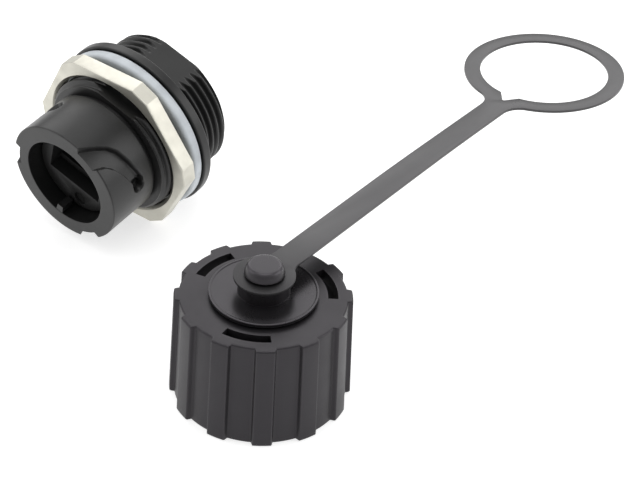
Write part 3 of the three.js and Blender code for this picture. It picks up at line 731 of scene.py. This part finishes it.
class Nodes:
    """A short way to write a material's nodes."""

    def __init__(self, name):
        self.material = bpy.data.materials.new(name)
        self.material.use_nodes = True
        self.tree = self.material.node_tree
        self.shader = self.tree.nodes["Principled BSDF"]

    def add(self, kind, inputs=None, **settings):
        node = self.tree.nodes.new(kind)
        for key, value in settings.items():
            setattr(node, key, value)
        for key, value in (inputs or {}).items():
            self.put(node.inputs[key], value)
        return node

    def put(self, socket, value):
        if isinstance(value, bpy.types.NodeSocket):
            self.tree.links.new(value, socket)
        else:
            socket.default_value = value

    def set(self, **inputs):
        for key, value in inputs.items():
            self.put(self.shader.inputs[key.replace("_", " ")], value)

    def coordinates(self):
        return self.add("ShaderNodeTexCoord").outputs["Object"]

    def noise(self, scale, detail=3.0, rough=0.5, vector=None):
        inputs = {"Scale": scale, "Detail": detail, "Roughness": rough}
        inputs["Vector"] = vector or self.coordinates()
        return self.add("ShaderNodeTexNoise", inputs).outputs["Fac"]

    def remap(self, value, low, high, to_low, to_high):
        inputs = {"Value": value, "From Min": low, "From Max": high}
        inputs.update({"To Min": to_low, "To Max": to_high})
        return self.add("ShaderNodeMapRange", inputs).outputs["Result"]

    def mix(self, share, first, second):
        node = self.add("ShaderNodeMix", data_type="RGBA")
        self.put(node.inputs[0], share)
        self.put(node.inputs[6], first)
        self.put(node.inputs[7], second)
        return node.outputs[2]

    def bump(self, height, strength, distance, normal=None):
        inputs = {"Height": height, "Strength": strength, "Distance": distance}
        if normal:
            inputs["Normal"] = normal
        return self.add("ShaderNodeBump", inputs).outputs["Normal"]

    def edges(self, low=0.07, high=0.25):
        turn = self.add("ShaderNodeAttribute", attribute_name="turn").outputs["Fac"]
        return self.remap(turn, low, high, 0, 1)


def grey(value, cool=0.0):
    return (value * (1 + cool / 2), value * (1 - cool / 2), value * (1 + cool), 1)


def moulded(
    name, base, roughness, grain=0.3, grain_size=0.12, edge=1.5, cool=0.0, gloss=0.5, waves=0.25
):
    """Black or grey moulded plastic: fine spark texture, uneven gloss, lighter edges that are
    partly wear and partly painted highlight.
    """
    n = Nodes(name)
    cloud = n.noise(220, 4.0)
    speck = n.noise(1 / (grain_size * MM), 2.0, 0.6)
    tone = n.mix(n.remap(cloud, 0.3, 0.7, 0, 1), grey(base * 0.92, cool), grey(base * 1.1, cool))
    # lighter edges: partly wear, partly a painted highlight on rims and rib tops; edge sets how
    # much lighter
    wear_and_highlight = n.mix(n.edges(), tone, grey(base * edge, cool))
    n.set(Base_Color=wear_and_highlight, Specular_IOR_Level=gloss, Specular_Tint=grey(1 - cool / 2, cool))
    n.set(Roughness=n.remap(n.noise(90, 5.0, 0.65), 0.3, 0.7, roughness - 0.05, roughness + 0.06))
    broad = n.bump(n.noise(420, 2.0), waves, BROAD_BUMP)
    n.set(Normal=n.bump(speck, grain, FINE_BUMP, broad))
    return n.material


def sheet(name, base, roughness):
    """Grey plastic sheet, duller round the knob that it turns under, and darkened there with
    painted shade.

    A blended piece lies in world coordinates at rest, so its Y is the frame's.
    """
    n = Nodes(name)
    along = n.add("ShaderNodeSeparateXYZ", {"Vector": n.coordinates()}).outputs["Y"]
    knob_y = JOINTS["strap_swivel"]["pos_m"][1]
    # painted shade: this mask darkens the sheet's colour at the knob and fades it out over 15 mm
    # along the strap; it also dulls the roughness there
    clear = n.remap(along, knob_y - 0.001, knob_y + 0.015, 0, 1)
    cloud = n.remap(n.noise(220, 4.0), 0.3, 0.7, 0, 1)
    tone = n.mix(cloud, grey(base * 0.92), grey(base * 1.1))
    # lighter rims: partly wear, partly painted highlight
    wear_and_highlight = n.mix(n.edges(), tone, grey(base * 1.6))
    # grey(base * 0.2) is the painted shade of the knob on the eye
    n.set(Base_Color=n.mix(clear, grey(base * 0.2), wear_and_highlight), Specular_IOR_Level=0.5)
    n.set(Specular_Tint=grey(0.99, 0.03))
    uneven = n.remap(n.noise(90, 5.0, 0.65), 0.3, 0.7, -0.03, 0.04)
    dulled = n.remap(clear, 0, 1, roughness + 0.2, roughness)
    total = n.add("ShaderNodeMath", {0: uneven, 1: dulled}, operation="ADD")
    n.set(Roughness=total.outputs["Value"])
    broad = n.bump(n.noise(420, 2.0), 0.1, BROAD_BUMP)
    n.set(Normal=n.bump(n.noise(8000, 2.0, 0.6), 0.12, FINE_BUMP, broad))
    return n.material


def rubber(name, colour, roughness, grain=0.35):
    """Matt moulded rubber, a little lighter in some places than in others."""
    n = Nodes(name)
    cloud = n.noise(300, 4.0)
    light = tuple(min(1, c * 1.12) for c in colour[:3]) + (1,)
    dark = tuple(c * 0.88 for c in colour[:3]) + (1,)
    n.set(Base_Color=n.mix(n.remap(cloud, 0.3, 0.7, 0, 1), dark, light))
    n.set(Roughness=n.remap(n.noise(150, 4.0), 0.3, 0.7, roughness - 0.06, roughness + 0.06))
    n.set(Normal=n.bump(n.noise(6000, 2.0), grain, FINE_BUMP))
    return n.material


def plated(name, colour, roughness, turn=None, ring_size=0.14, grain=0.15):
    """Plated metal with the fine rings that turning leaves, and a few dull patches.

    turn is the matrix that laid the piece down after it was turned about its own Z axis.
    """
    n = Nodes(name)
    back = (turn or Matrix()).to_3x3().transposed().to_euler()
    upright = n.add("ShaderNodeMapping", {"Vector": n.coordinates(), "Rotation": back})
    parts = n.add("ShaderNodeSeparateXYZ", {"Vector": upright.outputs["Vector"]})
    flat = n.add("ShaderNodeCombineXYZ", {"X": parts.outputs["X"], "Y": parts.outputs["Y"]})
    radius = n.add("ShaderNodeVectorMath", {0: flat.outputs["Vector"]}, operation="LENGTH")
    line = {"X": radius.outputs["Value"], "Y": parts.outputs["Z"]}
    line = n.add("ShaderNodeCombineXYZ", line).outputs["Vector"]
    rings = n.noise(1 / (ring_size * MM), 3.0, 0.7, line)
    dull = n.noise(260, 3.0, 0.5)
    dark = tuple(c * 0.86 for c in colour[:3]) + (1,)
    n.set(Base_Color=n.mix(n.remap(dull, 0.35, 0.7, 0, 1), colour, dark), Metallic=1.0)
    n.set(Roughness=n.remap(dull, 0.3, 0.7, roughness - 0.03, roughness + 0.06))
    n.set(Normal=n.bump(rings, grain, FINE_BUMP))
    return n.material


MATERIALS = {
    "housing_plastic": moulded("black moulded plastic", 0.008, 0.36, edge=1.6, gloss=0.44),
    "insert_plastic": moulded("black insert plastic", 0.005, 0.45, grain=0.15, gloss=0.3),
    "cap_plastic": moulded("dark grey moulded plastic", 0.008, 0.4, edge=2.0, cool=0.06, gloss=0.4),
    # edge=5.0 paints a bright highlight line along the disc's rim
    "disc_plastic": moulded(
        "dark grey smooth plastic", 0.009, 0.28,
        grain=0.06, edge=5.0, cool=0.06, gloss=0.42, waves=0.05,
    ),
    "strap_plastic": sheet("grey sheet plastic", 0.027, 0.3),
    "gasket_rubber": rubber("blue grey silicone", (0.52, 0.555, 0.585, 1), 0.5),
    "seal_rubber": rubber("black rubber", (0.02, 0.02, 0.021, 1), 0.6),
    "nut_nickel": plated("nickel plate", (0.64, 0.625, 0.555, 1), 0.44, CONNECTOR, grain=0.06),
    "contact_gold": plated("gold plate", (0.86, 0.6, 0.2, 1), 0.2),
    "spring_steel": plated("spring steel", (0.6, 0.6, 0.6, 1), 0.28),
}


def dress():
    """Gives every piece and every CAD node the material of its slot."""
    slots = {part["node"]: part["material_slot"] for part in frame["record"]["subparts"]}
    for name, node in frame["nodes"].items():
        node.data.materials.clear()
        node.data.materials.append(MATERIALS[slots[name]])
    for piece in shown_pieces():
        if "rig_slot" in piece:
            piece.data.materials.clear()
            piece.data.materials.append(MATERIALS[piece["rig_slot"]])


# ---- floor, light and camera ----


def floor():
    """A pale sheet just under the set, out of contact with the faces that stand on it."""
    half, below = 1.5, 0.00002
    corners = [(-half, -half, 0), (half, -half, 0), (half, half, 0), (-half, half, 0)]
    mesh = bpy.data.meshes.new("floor")
    mesh.from_pydata(corners, [], [(0, 1, 2, 3)])
    plane = bpy.data.objects.new("floor", mesh)
    plane.location.z = cad_box[0][2] - below
    bpy.context.scene.collection.objects.link(plane)
    n = Nodes("pale floor")
    n.set(Base_Color=(0.6, 0.6, 0.6, 1), Roughness=0.9, Specular_IOR_Level=0.1)
    n.set(Emission_Color=(1, 1, 1, 1), Emission_Strength=0.66)
    mesh.materials.append(n.material)


def area_light(name, place, target, size, power):
    data = bpy.data.lights.new(name, "AREA")
    data.shape = "RECTANGLE"
    data.size, data.size_y = size
    data.energy = power
    light = bpy.data.objects.new(name, data)
    light.location = place
    light.rotation_euler = (Vector(target) - Vector(place)).to_track_quat("-Z", "Y").to_euler()
    bpy.context.scene.collection.objects.link(light)
    return light


VIEW_AT = Vector((183.46, -250.47, 225.53)) * MM
VIEW_ALONG = Vector((-0.46066, 0.65545, -0.59847)).normalized()
VIEW_ROLL = math.radians(3.72)
LENS, SENSOR = 112.5, 36.0


def camera():
    right = VIEW_ALONG.cross(Vector((0, 0, 1))).normalized()
    up = right.cross(VIEW_ALONG)
    tilted_right = math.cos(VIEW_ROLL) * right + math.sin(VIEW_ROLL) * up
    tilted_up = math.cos(VIEW_ROLL) * up - math.sin(VIEW_ROLL) * right
    data = bpy.data.cameras.new("camera")
    data.lens, data.sensor_width = LENS, SENSOR
    data.clip_start = 0.01
    view = bpy.data.objects.new("camera", data)
    turn = Matrix((tilted_right, tilted_up, -VIEW_ALONG)).transposed().to_4x4()
    view.matrix_world = Matrix.Translation(VIEW_AT) @ turn
    bpy.context.scene.collection.objects.link(view)
    bpy.context.scene.camera = view


def lighting():
    away = Vector((VIEW_ALONG.x, VIEW_ALONG.y, 0)).normalized()
    side = Vector((away.y, -away.x, 0))
    up = Vector((0, 0, 1))
    area_light("back softbox", away * 0.9 + up * 0.75, (0, 0, 0), (1.6, 0.8), 7.2)
    area_light("left softbox", -side * 0.8 + up * 0.5, (0, 0, 0), (0.7, 0.7), 2.3)
    area_light("right softbox", side * 0.8 + up * 0.4, (0, 0, 0), (0.7, 0.7), 3.0)
    area_light("overhead softbox", up * 1.2, (0, 0, 0), (0.8, 0.8), 4)
    world = bpy.data.worlds.new("world")
    world.use_nodes = True
    background = world.node_tree.nodes["Background"]
    background.inputs["Color"].default_value = (1, 1, 1, 1)
    background.inputs["Strength"].default_value = 0.45
    bpy.context.scene.world = world
    bpy.context.scene.view_settings.view_transform = "Standard"


# ---- build ----

housing()
panel_nut()
flange_gasket()
coupler_insert()
coupling_ring()
cap_disc()
strap_pin()
inner_plug()
cap_seal()
strap()
dress()
floor()
lighting()
camera()
